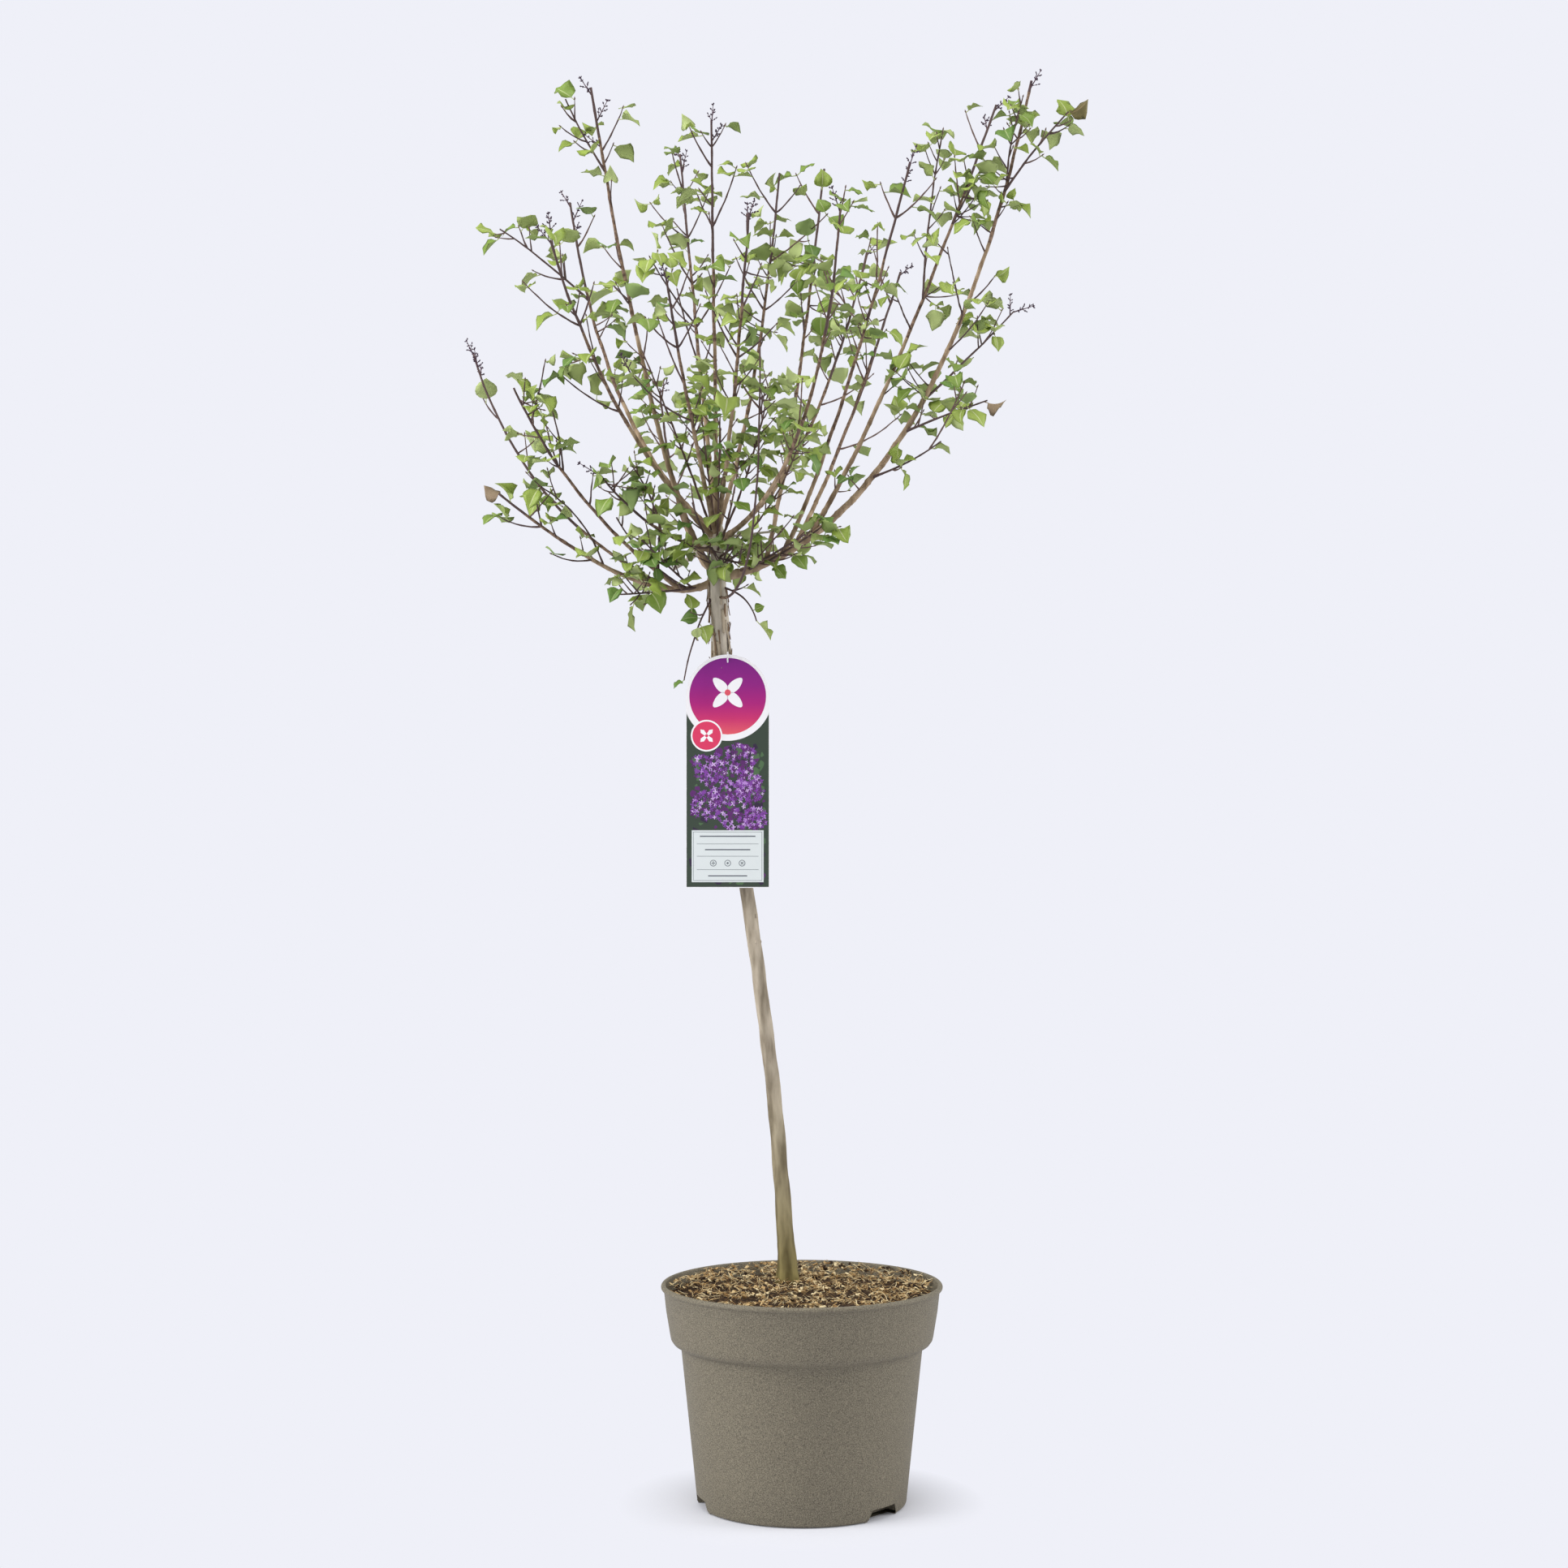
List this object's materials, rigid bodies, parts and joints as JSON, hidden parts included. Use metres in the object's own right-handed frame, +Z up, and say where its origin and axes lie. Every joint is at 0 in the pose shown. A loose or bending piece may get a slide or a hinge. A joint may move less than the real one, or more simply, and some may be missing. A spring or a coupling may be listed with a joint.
{
  "type": "potted standard lilac bush",
  "caption": "Small-leaved lilac grown as a standard: a slim leaning stem with an open, bushy head of green leaves and dark flower buds, in a nursery pot with a hanging plant label.",
  "frame": {"origin": "middle of the pot's flat underside, on the floor", "axes": "+Z up the stem, +X to the right and -Y towards the viewer, the side the label faces"},
  "size_m": [0.6182, 0.512, 1.4017],
  "materials": {
    "pot_plastic": "finely stippled taupe nursery-pot plastic",
    "compost": "damp brown peat with pale tan coconut chips and fibres",
    "stem_bark": "grey-tan bark, greenish at the foot, flaking under the head",
    "bough_bark": "smooth tan-brown young bark with small knobs",
    "leaves": "soft green leaves, bronze at some tips, with dark purple flower buds",
    "tag_card": "printed plastic card, purple and white",
    "loop_plastic": "white plastic tie"
  },
  "bodies": {
    "root": {"pot": "pot_plastic", "soil": "compost", "trunk": "stem_bark", "tag": "tag_card", "tag_loop": "loop_plastic", "bough_left_low": "bough_bark", "foliage_left_low": "leaves", "bough_left_arm": "bough_bark", "foliage_left_arm": "leaves", "bough_left_whip": "bough_bark", "foliage_left_whip": "leaves", "bough_left_tall": "bough_bark", "foliage_left_tall": "leaves", "bough_right_low": "bough_bark", "foliage_right_low": "leaves", "foliage_right_tip": "leaves", "bough_right_inner": "bough_bark", "foliage_right_inner": "leaves", "bough_right_front": "bough_bark", "foliage_right_front": "leaves", "bough_right_back": "bough_bark", "foliage_right_back": "leaves", "bough_right_tall": "bough_bark", "foliage_right_tall": "leaves", "foliage_right_spur": "leaves", "foliage_right_twig_low": "leaves", "foliage_right_twig_high": "leaves", "bough_left_upper": "bough_bark", "foliage_left_upper": "leaves", "bough_left_front": "bough_bark", "foliage_left_front": "leaves", "foliage_left_tip": "leaves", "foliage_left_reach": "leaves", "bough_front_left": "bough_bark", "foliage_front_left": "leaves", "bough_back_left": "bough_bark", "foliage_back_left": "leaves", "bough_centre_tall": "bough_bark", "foliage_centre_tall": "leaves", "bough_front_centre": "bough_bark", "foliage_front_centre": "leaves", "bough_centre_right": "bough_bark", "foliage_centre_right": "leaves", "bough_curved_front": "bough_bark", "foliage_curved_front": "leaves", "bough_curved_back": "bough_bark", "foliage_curved_back": "leaves", "bough_back_low": "bough_bark", "foliage_back_low": "leaves", "bough_thin_front": "bough_bark", "foliage_thin_front": "leaves", "bough_left_mid": "bough_bark", "foliage_left_mid": "leaves", "foliage_left_spray": "leaves", "foliage_right_spray": "leaves", "foliage_head_spray": "leaves", "foliage_foot_spray": "leaves", "foliage_back_spray": "leaves", "foliage_droop_left": "leaves", "foliage_droop_right": "leaves"}
  },
  "joints": []
}
